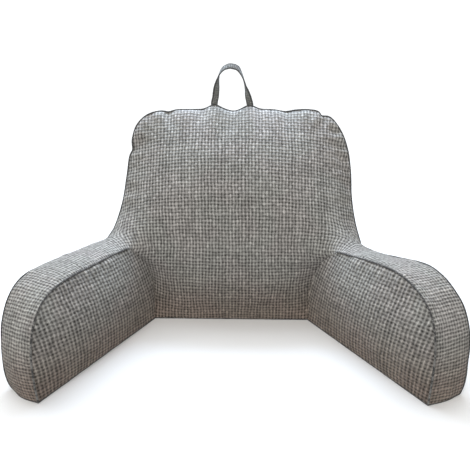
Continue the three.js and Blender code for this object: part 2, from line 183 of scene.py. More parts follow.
def arm_lines(arm, fine):
    crease_foot, toe = arm_point(arm, 0), arm_point(arm, arm["length"])
    root, end, heel = (arm_point(arm, *arm[name]) for name in ("root", "end_middle", "heel"))
    crease, inner, outer = (
        [arm_point(arm, *row) for row in arm[name]]
        for name in ("crease_seam", "inner_seam", "outer_seam")
    )
    along = (ARM_CELLS + CREASE_CELLS) * fine
    return {
        "crease": smooth_line([crease_foot, *crease], CREASE_CELLS * fine),
        "inner": smooth_line([crease[-1], *inner, toe], along),
        "outer": smooth_line([*outer, heel], along),
        "inner_foot": smooth_line([crease_foot, toe], ARM_CELLS * fine),
        "outer_foot": smooth_line([root, heel], ARM_CELLS * fine),
        "end_foot": smooth_line([toe, end, heel], GUSSET_CELLS * fine),
        "root_foot": smooth_line([crease_foot, root], GUSSET_CELLS * fine),
        "root_side": smooth_line([root, outer[0]], CREASE_CELLS * fine),
        "root_top": smooth_line([crease[-1], outer[0]], GUSSET_CELLS * fine),
    }


def backrest_seam(lines, fine):
    rows = [(x, LEAN_DEPTH + SEAM_LEAN * (z - LEAN_HEIGHT), z) for x, z in BACK_OUTLINE]
    ends = [lines[name]["outer"][0] for name in ("left", "right")]
    seam = smooth_line([ends[0], *rows, ends[1]], (2 * SIDE_CELLS + WIDTH_CELLS) * fine)
    away = seam - (0, 0, PULL_MIDDLE)
    away[:, 1] = 0
    away /= np.linalg.norm(away, axis=1)[:, None]
    away[np.abs(seam[:, 0]) < STRAIGHT_TOP] = (0, 0, 1)
    pull = sum(
        lift * np.exp(-((seam[:, 0] - x) ** 2 + (seam[:, 2] - z) ** 2) / spread**2)
        for x, z, lift, spread in SEAM_PULLS
    )
    return seam + away * pull[:, None]


# %% The panels, spanned between their lines
def cut_panels(fine):
    """Every panel as (sheet, facing, plumpness), with the lines that stay where they are."""
    arms = {name: arm_lines(arm, fine) for name, arm in ARMS.items()}
    left, right = arms["left"], arms["right"]
    seam = backrest_seam(arms, fine)
    side, width = SIDE_CELLS * fine, WIDTH_CELLS * fine
    sides = {"left": seam[: side + 1], "right": seam[side + width :][::-1]}
    top = seam[side : side + width + 1]
    foot = smooth_line([left["crease"][0], right["crease"][0]], width)
    base = [left["root_foot"][-1], *[(x, y, 0) for x, y in BACK_BASE], right["root_foot"][-1]]
    back_foot = smooth_line(base, width)
    front_edge = {
        name: np.vstack([line["crease"], line["root_top"][1:], sides[name][1:]])
        for name, line in arms.items()
    }
    back_edge = {name: np.vstack([line["root_side"], sides[name][1:]]) for name, line in arms.items()}
    panels = {
        "front": (span(foot, top, front_edge["left"], front_edge["right"]), 1, FRONT_PLUMPNESS),
        "back": (span(back_foot, top, back_edge["left"], back_edge["right"]), -1, BACK_PLUMPNESS),
        "base": (span(foot, back_foot, left["root_foot"], right["root_foot"]), -1, 0),
    }
    held = {"seam": seam, "foot": foot, "back_foot": back_foot}
    for name, line in arms.items():
        out = ARMS[name]["side"]
        tops = {k: line[k][: ARM_CELLS * fine + 1] for k in ("inner", "outer")}
        fronts = {k: line[k][ARM_CELLS * fine :][::-1] for k in ("inner", "outer")}
        inner = span(line["inner_foot"], tops["inner"], line["crease"], fronts["inner"])
        outer = span(line["outer_foot"], tops["outer"], line["root_side"], fronts["outer"])
        gusset = span(line["inner"], line["outer"], line["root_top"], line["end_foot"])
        sole = span(line["inner_foot"], line["outer_foot"], line["root_foot"], line["end_foot"])
        panels["inner_" + name] = (inner, out, FRONT_PLUMPNESS)
        panels["outer_" + name] = (outer, -out, FRONT_PLUMPNESS)
        panels["gusset_" + name] = (gusset, out, ARMS[name]["gusset_plumpness"])
        panels["sole_" + name] = (sole, -out, 0)
        for kind in ("crease", "inner", "outer", "inner_foot", "outer_foot", "end_foot"):
            held[kind + "_" + name] = line[kind]
    return panels, held


sample_panels, _ = cut_panels(1)
print("panels:", {name: sheet.shape[:2] for name, (sheet, *_) in sample_panels.items()})

# %% [markdown]
# ## Sewing and filling
# Where two panels share a line they share its points, which is what a seam does. The seams and
# the base stay put, and every other point moves to the middle of its neighbours while the
# filling pushes it outwards, like a soap film with air behind it. That gives each panel its
# crown and draws it in towards the seams. It is done coarsely first, because a wide crown
# settles slowly on a fine grid, and then on grids two and four times as fine.

# %% The sewn cover
class Cover:
    """All panels with their common points welded, ready to be filled."""

    def __init__(self, fine, coarse=None):
        self.panels, self.seams = cut_panels(fine)
        sheets = [sheet for sheet, *_ in self.panels.values()]
        spots = np.vstack([sheet.reshape(-1, 3) for sheet in sheets])
        keys = np.round(spots, 3) + 0.0
        _, first, ids = np.unique(keys, axis=0, return_index=True, return_inverse=True)
        self.at, self.known = spots[first].copy(), {tuple(keys[i]): n for n, i in enumerate(first)}
        ends = np.cumsum([0] + [sheet.shape[0] * sheet.shape[1] for sheet in sheets])
        ids = ids.ravel()
        self.grids = {
            name: ids[a:b].reshape(sheet.shape[:2])
            for name, sheet, a, b in zip(self.panels, sheets, ends, ends[1:])
        }
        self.lines = {name: self.find(line) for name, line in self.seams.items()}
        self.still = np.zeros(len(self.at), bool)
        for line in self.lines.values():
            self.still[line] = True
        for name in ("base", "sole_left", "sole_right"):
            self.still[self.grids[name]] = True
        if coarse:
            start = self.at.copy()
            for name, grid in self.grids.items():
                self.at[grid] = finer(coarse.at[coarse.grids[name]])
            self.at[self.still] = start[self.still]
        self.sew()

    def find(self, line):
        return np.array([self.known[tuple(key)] for key in np.round(line, 3) + 0.0])

    def sew(self):
        quads, plump = [], []
        for name, grid in self.grids.items():
            _, facing, plumpness = self.panels[name]
            cells = np.stack([grid[:-1, :-1], grid[:-1, 1:], grid[1:, 1:], grid[1:, :-1]], -1)
            cells = cells.reshape(-1, 4)
            quads.append(cells if facing > 0 else cells[:, ::-1])
            plump.append(np.full(len(cells), plumpness))
        self.quads, self.plump = np.vstack(quads), np.concatenate(plump)
        sides = np.vstack([self.quads[:, [k, (k + 1) % 4]] for k in range(4)])
        sides = np.unique(np.sort(sides, axis=1), axis=0)
        self.near = np.vstack([sides, sides[:, ::-1]])
        self.weight = np.ones(len(self.near))

    def gather(self, ids, amounts):
        size = len(self.at)
        return np.stack([np.bincount(ids, amounts[:, k], size) for k in range(3)], axis=1)

    def faces_out(self, at=None):
        """Each square's area as a vector that points out of the pillow, doubled."""
        corner = (self.at if at is None else at)[self.quads]
        return np.cross(corner[:, 2] - corner[:, 0], corner[:, 3] - corner[:, 1])

    def outward(self, at=None):
        """The direction out of the cloth at every point."""
        out = self.gather(self.quads.ravel(), np.repeat(self.faces_out(at), 4, axis=0))
        return out / np.linalg.norm(out, axis=1)[:, None]

    def weigh(self):
        """Links count by the angles opposite to them, as in a skin of even tension."""
        links = []
        for skipped in range(4):
            corners = np.delete(self.quads, skipped, axis=1)
            for k in range(3):
                tip, start, end = (corners[:, (k + n) % 3] for n in range(3))
                a, b = self.at[start] - self.at[tip], self.at[end] - self.at[tip]
                area = np.linalg.norm(np.cross(a, b), axis=1)
                links.append((start, end, (a * b).sum(axis=1) / (4 * area)))
        start, end, weight = (np.concatenate(part) for part in zip(*links))
        size = len(self.at)
        keys, ids = np.unique(np.minimum(start, end) * size + np.maximum(start, end), return_inverse=True)
        weight = np.maximum(np.bincount(ids, weight), 0)
        pairs = np.stack([keys // size, keys % size], axis=1)
        self.near, self.weight = np.vstack([pairs, pairs[:, ::-1]]), np.append(weight, weight)

    def fill(self, rounds):
        free = ~self.still
        total = np.bincount(self.near[:, 0], self.weight, len(self.at))[:, None]
        for _ in range(rounds):
            push = np.repeat(self.faces_out() * self.plump[:, None] / 8, 4, axis=0)
            push = self.gather(self.quads.ravel(), push)
            pull = self.at[self.near[:, 1]] * self.weight[:, None]
            pull = self.gather(self.near[:, 0], pull)
            self.at[free] = ((pull + push) / total)[free]

    def settle(self, times, rounds):
        for _ in range(times):
            self.weigh()
            self.fill(rounds)


coarse_cover = Cover(1)
coarse_cover.fill(1800)
coarse_cover.settle(14, 160)
middle_cover = Cover(2, coarse_cover)
middle_cover.settle(2, 80)
cover = Cover(4, middle_cover)
cover.settle(1, 60)
print("coarse, middle and fine cover:", [len(c.at) for c in (coarse_cover, middle_cover, cover)])

# %% [markdown]
# ## Into the frame
# The pattern was drawn from a line between the arms, and the CAD part has its origin under the
# middle of the whole pillow. The three CAD cushions are that same cover, so the step between
# the two origins is the step between the middles of their boxes.

# %% Find the step between the pattern and the frame
corners = np.array([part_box(name) for name in ("backrest", "arm_left", "arm_right")])
cad_middle = (corners[:, 0].min(axis=0) + corners[:, 1].max(axis=0)) / 2
own_middle = (coarse_cover.at.min(axis=0) + coarse_cover.at.max(axis=0)) / 2
STEP = np.array([*(cad_middle / MM - own_middle)[:2], 0])
print("step in millimetres:", STEP.round(2))


def to_frame(points):
    return (np.asarray(points) + STEP) * MM


# %% [markdown]
# ## Laying the panels flat
# Tweed is woven flat, so its yarns must run over the pillow as a flat pattern would carry them:
# level across the back, on into the gussets, and along each arm. Each group of panels is laid
# out by its lengths and then settled like a net of springs, so that every stretch of yarn keeps
# its real length. The flat place of each point is its UV, in metres, and the weave is drawn
# from that. An unwrap by Blender would give islands that turn any way they like.

# %% Flat patterns
# woven cloth shears far more easily than it stretches
SLANT_PULL = 0.12


def lengths_along(sheet):
    step = np.linalg.norm(np.diff(sheet, axis=1), axis=2)
    return np.hstack([np.zeros((len(sheet), 1)), np.cumsum(step, axis=1)])


def settle(flat, grids, at, rounds=900):
    """Moves flat points until the sides and diagonals of each square have their real length."""
    sides, slants = [], []
    for grid in grids:
        sides += [(grid[:, :-1], grid[:, 1:]), (grid[:-1], grid[1:])]
        slants += [(grid[:-1, :-1], grid[1:, 1:]), (grid[1:, :-1], grid[:-1, 1:])]
    a, b = (np.concatenate([pair[k].ravel() for pair in sides + slants]) for k in range(2))
    real = np.linalg.norm(at[b] - at[a], axis=1)
    strong = np.full(len(a), SLANT_PULL)
    strong[: sum(pair[0].size for pair in sides)] = 1
    size = len(flat)
    count = np.bincount(a, strong, size) + np.bincount(b, strong, size)
    count = np.maximum(count, 1e-6)[:, None]
    for _ in range(rounds):
        gap = flat[b] - flat[a]
        long = np.linalg.norm(gap, axis=1) + 1e-9
        move = gap * (strong * (long - real) / long)[:, None] / 2
        shift = [
            np.bincount(a, move[:, k], size) - np.bincount(b, move[:, k], size) for k in range(2)
        ]
        flat = flat + 1.5 * np.stack(shift, axis=1) / count
    stretch = np.linalg.norm(flat[b] - flat[a], axis=1) / real - 1
    return flat, stretch[strong == 1]


def lay_flat(cover, main, wings, wing_rows):
    """Flat places for a main panel and the panels that carry it on over each arm."""
    flat = np.zeros((len(cover.at), 2))
    grid = cover.grids[main]
    run = lengths_along(cover.at[grid])
    centre = grid.shape[1] // 2 if wings else 0
    run = run - run[:, centre : centre + 1]
    rise = lengths_along(cover.at[grid[:, centre : centre + 1]].swapaxes(0, 1))[0]
    flat[grid] = np.dstack([run, np.repeat(rise[:, None], grid.shape[1], axis=1)])
    for name, edge, out in wings:
        wing = cover.grids[name]
        start = flat[grid[wing_rows, edge]]
        along = lengths_along(cover.at[wing]) * out
        flat[wing] = np.dstack([start[:, :1] + along, np.repeat(start[:, 1:], wing.shape[1], 1)])
    grids = [grid] + [cover.grids[name] for name, *_ in wings]
    flat, stretch = settle(flat, grids, cover.at)
    print(main, "stretch of the cloth: mean", abs(stretch).mean().round(3))
    names = [main] + [name for name, *_ in wings]
    return {name: finer(finer(flat[cover.grids[name]])) * MM for name in names}


patterns = {}
gusset_rows = slice(CREASE_CELLS, CREASE_CELLS + GUSSET_CELLS + 1)
for main, wing, rows in (("front", "gusset", gusset_rows), ("back", "outer", slice(0, CREASE_CELLS + 1))):
    wings = [(wing + "_left", 0, -1), (wing + "_right", -1, 1)]
    patterns |= lay_flat(coarse_cover, main, wings, rows)
for name in ("inner_left", "inner_right", "base", "sole_left", "sole_right"):
    patterns |= lay_flat(coarse_cover, name, [], None)

# %% [markdown]
# The inner panels of the arms aren't cut square to the floor: their rows run level with the
# seam over them, and the cloth is pulled long towards the front. Two short rows of shares turn
# and stretch their flat places to match.

# %% The grain of the inner arms
# how much of the way along, and of the way up, goes into each new way
INNER_ALONG, INNER_UP = (0.71, -0.07), (-0.155, 0.955)
for name in ("inner_left", "inner_right"):
    patterns[name] = patterns[name] @ np.array([INNER_ALONG, INNER_UP]).T
print("weave on the inner arms is", round(1 / INNER_ALONG[0], 2), "times as long")

# %% [markdown]
# ## Gathers and creases
# The crown is smooth, but a stuffed cover is not. Beside each seam the cloth rolls over it, and
# because more cloth is eased in than the seam is long, the roll gathers into small waves that
# die out over a few centimetres, and near the seam's ends. Where the thread pulls, sharper
# creases run inwards. Sculpting by hand can't be repeated, so all of it comes from short tables:
# rolls and gathers as slow noise along each seam, the creases one by one.

# %% Gathers along the seams and creases on the front
# line, roll beside it, height of the gathers, their reach, points between them, seed
GATHERS = [
    ("seam", 3.0, 2.0, 13.0, 3, 31), ("outer_left", 1.2, 1.4, 9.0, 3, 32),
    ("outer_right", 1.2, 1.4, 9.0, 3, 33), ("inner_left", 1.5, 1.6, 7.0, 2, 34),
    ("inner_right", 1.5, 1.6, 7.0, 2, 35),
]
LUMP, LUMP_SIZE, CREASED, SEAM_FADE = 2.0, 55.0, 1.25, 4
# from across, height; to across, height; depth, width: a negative depth is a ridge
CREASES = [
    (166, 357, 148, 333, 4.0, 7), (194, 330, 170, 340, 5.0, 6), (203, 301, 176, 319, 6.0, 7),
    (207, 281, 179, 303, 6.0, 6), (209, 262, 184, 284, 4.5, 6), (208, 243, 186, 262, 3.0, 6),
    (206, 291, 182, 311, -2.0, 5), (-193, 304, -168, 313, 3.5, 7), (-190, 322, -166, 318, 2.5, 7),
    (-123, 370, -115, 343, 3.0, 8), (-38, 374, -42, 330, -3.0, 10), (-4, 369, -5, 340, 3.0, 9),
    (28, 374, 33, 330, -3.0, 10), (94, 370, 92, 342, 2.5, 10), (135, 371, 128, 346, -2.0, 10),
    (-85, 371, -88, 346, -1.5, 10), (-160, 366, -146, 346, 2.0, 7),
]


def smooth_noise(count, spacing, seed):
    """Slow random values along a line, the same in every run."""
    rng = np.random.default_rng(seed)
    knots = rng.uniform(-1, 1, count // spacing + 3)
    spots = np.linspace(0, len(knots) - 1.001, count)
    low = spots.astype(int)
    part = spots - low
    part = part * part * (3 - 2 * part)
    return knots[low] * (1 - part) + knots[low + 1] * part


def nearest(points, spots):
    """For each point, which of the spots is nearest and how far it is."""
    tree = kdtree.KDTree(len(spots))
    for k, spot in enumerate(spots):
        tree.insert(spot, k)
    tree.balance()
    found = np.array([tree.find(point)[1:] for point in points])
    return found[:, 0].astype(int), found[:, 1]


def crumple(cover):
    """How far the cloth stands in or out at each point, in millimetres."""
    height = np.zeros(len(cover.at))
    away = np.full(len(cover.at), 1e9)
    fine = len(cover.lines["seam"]) // (2 * SIDE_CELLS + WIDTH_CELLS)
    for name, roll, rise, reach, spacing, seed in GATHERS:
        line = cover.lines[name]
        wave = smooth_noise((len(line) - 1) * 4 // fine + 1, spacing, seed)[:: 4 // fine]
        count = np.arange(len(line))
        fade = np.clip(np.minimum(count, count[::-1]) / (SEAM_FADE * fine), 0, 1)
        which, far = nearest(cover.at, cover.at[line])
        stand = (fade * (roll + rise * wave))[which]
        height += stand * far / reach * np.exp(1 - far / reach)
        away = np.minimum(away, far)
    lumps = np.array([noise.noise(Vector(point / LUMP_SIZE)) for point in cover.at])
    height += LUMP * lumps * np.clip(away / 40, 0, 1)
    front = cover.grids["front"].ravel()
    flat = cover.at[front][:, [0, 2]]
    for x0, z0, x1, z1, depth, width in CREASES:
        start, run = np.array([x0, z0]), np.array([x1 - x0, z1 - z0])
        along = np.clip((flat - start) @ run / (run @ run), -0.2, 1.3)
        across = np.linalg.norm(flat - start - along[:, None] * run, axis=1) / width
        taper = np.clip(along, 0, 1) ** 0.6 * np.clip(1.15 - along, 0, 1) ** 1.2 * 2
        shape = np.exp(-(across**2)) - 0.4 * np.exp(-(((across - 1.9) / 0.8) ** 2))
        height[front] -= CREASED * depth * taper * shape
    height[cover.still] = 0
    height *= np.clip(cover.at[:, 2] / 12, 0, 1)
    return height


middle_rise, fine_rise = crumple(middle_cover), crumple(cover)
print("gathers and creases stand in or out by up to", np.abs(fine_rise).max().round(1), "mm")

# %% [markdown]
# ## The filled cloth
# Blender's cloth then lets the gathered cover settle on its filling: the points in the seams and
# the base are pinned, a little pressure lifts the rest, and each crease finds its own balance
# between the stiff cloth and the filling. A middle-sized grid is enough for that and quick. The
# move is capped, so the pillow keeps its size, and the cloth run is deleted at the end.

# %% Turn points and squares into a mesh
def mesh_object(name, points, faces, uv=None, smooth=True):
    mesh = bpy.data.meshes.new(name)
    mesh.from_pydata(np.asarray(points).tolist(), [], [list(face) for face in faces])
    if uv is not None:
        layer = mesh.uv_layers.new(name="cloth")
        layer.data.foreach_set("uv", np.asarray(uv, float).ravel())
    mesh.polygons.foreach_set("use_smooth", [smooth] * len(mesh.polygons))
    mesh.update()
    piece = bpy.data.objects.new(name, mesh)
    bpy.context.collection.objects.link(piece)
    return piece


def cloth_uv(cover):
    """The flat place of every corner of every square, in the order of the squares."""
    corners = []
    for name, flat in patterns.items():
        assert flat.shape[:2] == cover.grids[name].shape
    for name in cover.grids:
        flat = patterns[name]
        cells = np.stack([flat[:-1, :-1], flat[:-1, 1:], flat[1:, 1:], flat[1:, :-1]], 2)
        cells = cells.reshape(-1, 4, 2)
        corners.append(cells if cover.panels[name][1] > 0 else cells[:, ::-1])
    return np.vstack(corners)


# %% Let the cloth settle
PRESSURE, FRAMES, MOVE_CAP = 4.0, 20, 5.0


def settle_cloth(cover, points):
    piece = mesh_object("cloth_run", to_frame(points), cover.quads)
    pins = piece.vertex_groups.new(name="sewn")
    pins.add(np.nonzero(cover.still)[0].tolist(), 1.0, "REPLACE")
    cloth = piece.modifiers.new("filling", "CLOTH")
    settings = cloth.settings
    settings.quality = 5
    settings.mass = 0.02
    settings.tension_stiffness = settings.compression_stiffness = 15
    settings.shear_stiffness = 4
    settings.bending_stiffness = 0.2
    settings.use_pressure = True
    settings.uniform_pressure_force = PRESSURE
    settings.vertex_group_mass = "sewn"
    settings.effector_weights.gravity = 0
    cloth.collision_settings.use_collision = False
    cloth.collision_settings.use_self_collision = False
    cloth.point_cache.frame_start, cloth.point_cache.frame_end = 1, FRAMES
    for number in range(1, FRAMES + 1):
        bpy.context.scene.frame_set(number)
    shape = piece.evaluated_get(bpy.context.evaluated_depsgraph_get()).data
    moved = np.empty(3 * len(points))
    shape.vertices.foreach_get("co", moved)
    bpy.data.objects.remove(piece)
    bpy.context.scene.frame_set(1)
    return moved.reshape(-1, 3) / MM - STEP


def carry_over(move, cover, finer_cover):
    """The same move on a grid that is twice as fine."""
    fine_move = np.zeros((len(finer_cover.at), 3))
    for name, grid in cover.grids.items():
        fine_move[finer_cover.grids[name]] = finer(move[grid])
    fine_move[finer_cover.still] = 0
    return fine_move


crumpled = middle_cover.at + middle_cover.outward() * middle_rise[:, None]
cover_at = cover.at + cover.outward() * fine_rise[:, None]
move = settle_cloth(middle_cover, crumpled) - crumpled
size = np.linalg.norm(move, axis=1)[:, None]
print("settling moved the cloth by up to", size.max().round(2), "mm")
move *= np.minimum(1, MOVE_CAP / np.maximum(size, 1e-9))
cover_at = cover_at + carry_over(move, middle_cover, cover)

# %% [markdown]
# ## One cover from the cloth
# The whole cover is one closed piece, because its front runs on over both arms without a seam.
# It stands for three CAD cushions.

# %% The cover as a piece
pillow_cover = mesh_object("pillow_cover", to_frame(cover_at), cover.quads, cloth_uv(cover))
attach(pillow_cover, "root")
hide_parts("backrest", "arm_left", "arm_right")
print("cover:", len(cover.at), "points,", len(cover.quads), "squares")

# %% [markdown]
# ## The welts
# A thin dark cord of folded cloth lies in each outside seam and in the seam inside each arm.
# A curve with a bevel would give a plain pipe; sweeping a small ring by hand lets the cord
# swell and thin a little along its length, and gives it a UV for its own weave.

# %% Sweep a ring along a line
def sweep(name, path, ups, ring):
    """A tube along a path in millimetres. ring holds (sideways, up) places for each point."""
    path = np.asarray(path, float)
    ahead = np.gradient(path, axis=0)
    ahead /= np.linalg.norm(ahead, axis=1)[:, None]
    side = np.cross(ahead, ups)
    side /= np.linalg.norm(side, axis=1)[:, None]
    up = np.cross(side, ahead)
    ring = np.broadcast_to(ring, (len(path),) + np.shape(ring)[-2:])
    points = path[:, None] + side[:, None] * ring[..., :1] + up[:, None] * ring[..., 1:]
    n = ring.shape[1]
    ids = np.arange(len(path) * n).reshape(len(path), n)
    turn = np.arange(n)
    after = (turn + 1) % n
    faces = np.stack([ids[:-1][:, turn], ids[:-1][:, after], ids[1:][:, after], ids[1:][:, turn]], -1)
    run = np.append(0, np.cumsum(np.linalg.norm(np.diff(path, axis=0), axis=1))) * MM
    girth = np.linalg.norm(np.roll(ring[0], -1, axis=0) - ring[0], axis=1)
    around = np.append(0, np.cumsum(girth)) * MM
    uv = np.empty((len(path) - 1, n, 4, 2))
    uv[..., 0] = np.stack([run[:-1], run[:-1], run[1:], run[1:]], -1)[:, None]
    uv[..., 1] = np.stack([around[:-1], around[1:], around[1:], around[:-1]], -1)[None]
    faces = faces.reshape(-1, 4).tolist() + [ids[0][::-1].tolist(), ids[-1].tolist()]
    uv = np.vstack([uv.reshape(-1, 2), np.zeros((2 * n, 2))])
    return mesh_object(name, to_frame(points.reshape(-1, 3)), faces, uv)


# %% Lay the cords in their seams
WELT_RADIUS, ARM_WELT_RADIUS, WELT_SWELL, WELT_SIDES = 1.35, 1.65, 0.12, 10
WELT_STAND, ARM_WELT_STAND, WELT_SUNK = 0.5, 0.6, -1.2
outward = cover.outward(cover_at)


def cord_ring(count, radius, sides, seed):
    angle = -2 * np.pi * np.arange(sides) / sides
    swell = radius * (1 + WELT_SWELL * smooth_noise(count, 6, seed))
    circle = np.stack([np.cos(angle), np.sin(angle)], axis=-1)
    return swell[:, None, None] * circle


def lay_welt(name, ids, node, seed, stand, radius):
    ups = outward[ids]
    path = cover_at[ids] + ups * np.broadcast_to(stand, len(ids))[:, None]
    path[:, 2] = np.maximum(path[:, 2], radius * (1 + WELT_SWELL))
    welt = sweep(name, path, ups, cord_ring(len(ids), radius, WELT_SIDES, seed))
    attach(welt, "root")
    if node:
        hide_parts(node)
    return welt


outer_line = np.concatenate([
    cover.lines["outer_left"][::-1], cover.lines["seam"][1:-1], cover.lines["outer_right"]
])
# over the left arm the gusset rolls over its cord and nearly hides it
left_run = np.linspace(0, 1, len(cover.lines["outer_left"]))
sunk = np.clip(np.minimum(left_run - 0.45, 0.95 - left_run) / 0.08, 0, 1)
outer_stand = np.full(len(outer_line), WELT_STAND)
outer_stand[: len(sunk)] += (WELT_SUNK - WELT_STAND) * sunk
outer_cord = lay_welt("outer_cord", outer_line, "outer_welt", 11, outer_stand, WELT_RADIUS)
arm_cords = [
    lay_welt("arm_cord_" + side, cover.lines["inner_" + side], "arm_welt_" + side, seed,
             ARM_WELT_STAND, ARM_WELT_RADIUS)
    for side, seed in (("left", 12), ("right", 13))
]
welts = [outer_cord]
print("outer welt is", len(outer_line), "points long")

# %% [markdown]
# ## The seam round the base
# The lower edge of the front and of the arms is closed by a narrow seam, which shows as a thin
# dark line where the pillow meets the floor. It has no cord in it, so it is thinner.

# %% The base seam
BASE_RADIUS = 1.0
base_lines = [
    cover.lines["end_foot_left"][::-1], cover.lines["inner_foot_left"][::-1], cover.lines["foot"],
    cover.lines["inner_foot_right"], cover.lines["end_foot_right"],
]
front_base = np.concatenate([base_lines[0]] + [line[1:] for line in base_lines[1:]])
back_base = np.concatenate([
    cover.lines["outer_foot_left"][::-1], cover.lines["back_foot"][1:],
    cover.lines["outer_foot_right"][1:],
])
for name, ids, seed in (("base_seam_front", front_base, 14), ("base_seam_back", back_base, 15)):
    ups = outward[ids] * (1, 1, 0) + (0, 0, 0.2)
    path = cover_at[ids] + ups * 0.4
    path[:, 2] = BASE_RADIUS * (1 + WELT_SWELL)
    seam = sweep(name, path, ups, cord_ring(len(ids), BASE_RADIUS, 8, seed))
    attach(seam, "root")
    welts.append(seam)

# %% [markdown]
# ## The strap
# The strap is a strip of the cover cloth, folded to a few layers and stitched along both edges,
# then sewn into the top seam by both ends. Stiff cloth doesn't bend edgeways, so it twists:
# flat to the front at its feet, edge on at the sides, and tilted to the front at the top. Its
# section is swept along the loop with that twist, with rounded folds and a dip along each row
# of stitches.

# %% The loop and its section
STRAP_WIDTH, STRAP_THICKNESS, STRAP_DEPTH, STRAP_SINK = 12.5, 2.8, 147.5, 7.0
# across, height, turn in degrees
STRAP_PATH = [
    (-38, 0, 0), (-35.8, 14, 5), (-34, 27, 25), (-33, 37, 48), (-31, 46, 72), (-27.5, 56.5, 94),
    (-20, 65.5, 114), (-11, 69, 128), (-2, 68.5, 132), (5, 65, 124), (10, 58, 104), (15, 47, 90),
    (19, 34, 78), (22, 24, 55), (24.4, 13, 22), (27.5, -1, 0),
]
strap_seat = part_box("carry_strap")[0][2] / MM + 1
strap_rows = np.array([STRAP_PATH[0], *STRAP_PATH, STRAP_PATH[-1]], float)
strap_rows[[0, -1], 1] -= STRAP_SINK
strap_places = np.linspace(0, 1, 181)
strap_mid = curve_at([(x, STRAP_DEPTH, strap_seat + z) for x, z, _ in strap_rows], strap_places)
strap_turn = np.interp(strap_places * (len(strap_rows) - 1), range(len(strap_rows)), strap_rows[:, 2])
strap_ahead = np.gradient(strap_mid, axis=0)
strap_ahead /= np.linalg.norm(strap_ahead, axis=1)[:, None]
in_plane = np.cross((0, 1, 0), strap_ahead)
in_plane /= np.linalg.norm(in_plane, axis=1)[:, None]
turn = np.radians(strap_turn)[:, None]
strap_wide = in_plane * np.cos(turn) + np.array([0, 1, 0]) * np.sin(turn)
strap_thick = np.cross(strap_ahead, strap_wide)

STITCH_LINE = 4.3
half = np.cos(np.linspace(0, np.pi, 21))
dip = 0.4 * np.exp(-(((np.abs(half) * STRAP_WIDTH / 2 - STITCH_LINE) / 0.7) ** 2))
rise = STRAP_THICKNESS / 2 * (1 - half**6) ** 0.5 - dip
section = [(w * STRAP_WIDTH / 2, h) for w, h in zip(half, rise)]
section += [(w * STRAP_WIDTH / 2, -h) for w, h in zip(half[-2:0:-1], rise[-2:0:-1])]
section = np.array(section)[::-1]
waver = np.stack([smooth_noise(181, 7, 21), smooth_noise(181, 9, 22)], -1) * (0.35, 0.2)
carry_loop = sweep(
    "carry_loop", strap_mid, strap_thick, section[None] * (1 + 0.04 * waver[:, None]) + waver[:, None]
)
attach(carry_loop, "root")
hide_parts("carry_strap")
print("strap is", round(np.linalg.norm(np.diff(strap_mid, axis=0), axis=1).sum()), "mm long")

# %% [markdown]
# ## Stitches
# Two rows of dark thread hold the folded strap. Each stitch is a short bent bar that dives into
# the cloth at both ends, and all of them are joined into one piece.

# %% Stitches as one mesh
def stitch_bars(name, starts, ends, ups, radius, sides=5, bends=4):
    """A bar from each start to its end, lifted in the middle."""
    spots = np.linspace(0, 1, bends)[None, :, None]
    lift = np.sin(np.pi * spots) * radius * 1.1 - radius * 0.9
    line = starts[:, None] * (1 - spots) + ends[:, None] * spots + ups[:, None] * lift
    ahead = (ends - starts) / np.linalg.norm(ends - starts, axis=1)[:, None]
    side = np.cross(ahead, ups)
    angle = 2 * np.pi * np.arange(sides) / sides
    girth = radius * (0.45 + 0.55 * np.sin(np.pi * spots[..., None]))
    ring = side[:, None, None] * np.cos(angle)[:, None] + ups[:, None, None] * np.sin(angle)[:, None]
    points = line[:, :, None] + girth * ring
    ids = np.arange(points.size // 3).reshape(points.shape[:3])
    nxt = np.roll(ids, -1, axis=2)
    faces = np.stack([ids[:, :-1], ids[:, 1:], nxt[:, 1:], nxt[:, :-1]], -1).reshape(-1, 4).tolist()
    faces += ids[:, 0].tolist() + ids[:, -1, ::-1].tolist()
    return mesh_object(name, to_frame(points.reshape(-1, 3)), faces)


STITCH_PITCH, STITCH_LENGTH = 3.0, 2.1
run = np.append(0, np.cumsum(np.linalg.norm(np.diff(strap_mid, axis=0), axis=1)))
begin = np.arange(STRAP_SINK + 2, run[-1] - STRAP_SINK - 2, STITCH_PITCH)


def on_strap(length, sideways, lift):
    """Places so far along the strap, so far to one side and so far off its middle."""
    def pick(rows):
        return np.stack([np.interp(length, run, rows[:, k]) for k in range(3)], -1)

    spread = pick(np.broadcast_to(waver[:, :1], strap_mid.shape))[:, :1]
    return pick(strap_mid) + pick(strap_wide) * (sideways + spread) + pick(strap_thick) * lift


face_lift = STRAP_THICKNESS / 2 - 0.35
bars = [
    (
        on_strap(begin, sideways, face_lift * face),
        on_strap(begin + STITCH_LENGTH, sideways, face_lift * face),
        on_strap(begin, 0, face) - on_strap(begin, 0, 0),
    )
    for sideways in (-STITCH_LINE, STITCH_LINE) for face in (-1, 1)
]
strap_stitches = stitch_bars("strap_stitches", *(np.concatenate(part) for part in zip(*bars)), 0.33)
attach(strap_stitches, "root")
print("stitches on the strap:", 4 * len(begin))

# %% [markdown]
# ## Writing materials as sums
# A woven cloth is mostly arithmetic on its flat place, and dozens of Math nodes are hard to
# read. A small class wraps a socket, so that + - * and / add those nodes by themselves.

